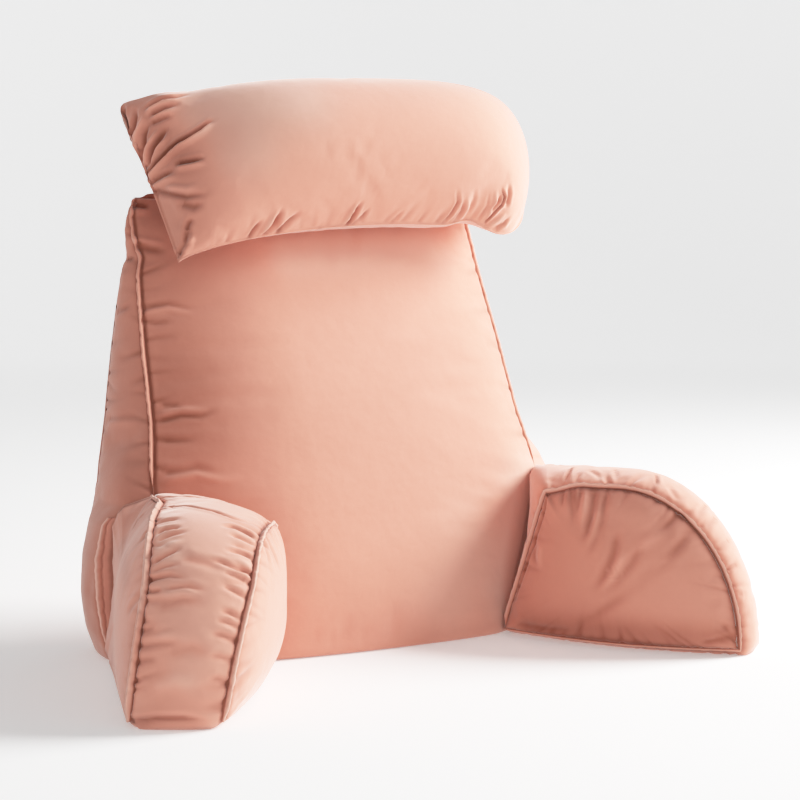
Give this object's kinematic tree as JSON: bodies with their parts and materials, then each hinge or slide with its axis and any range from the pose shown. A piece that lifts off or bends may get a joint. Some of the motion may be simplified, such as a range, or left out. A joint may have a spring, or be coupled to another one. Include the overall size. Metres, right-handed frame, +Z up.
{
  "type": "reading pillow with arms and head pillow",
  "caption": "Wedge-shaped velvet reading pillow with two padded arms, raised seams, a side pocket slit and a plump head pillow resting on its top",
  "frame": {"origin": "on the flat underside of the backrest, 80 mm behind the middle of its front edge", "axes": "+X across the pillow to the sitter's left-hand arm rest, +Y towards its back, +Z up"},
  "size_m": [0.7279, 0.4834, 0.6104],
  "materials": {
    "backrest_velvet": "soft short-pile velvet",
    "arm_velvet": "soft short-pile velvet",
    "facing_velvet": "soft short-pile velvet, turned edge",
    "head_velvet": "soft short-pile velvet"
  },
  "bodies": {
    "root": {"backrest": "backrest_velvet", "arm_right": "arm_velvet", "arm_left": "arm_velvet", "pocket_facing": "facing_velvet", "head_pillow": "head_velvet"}
  },
  "joints": []
}
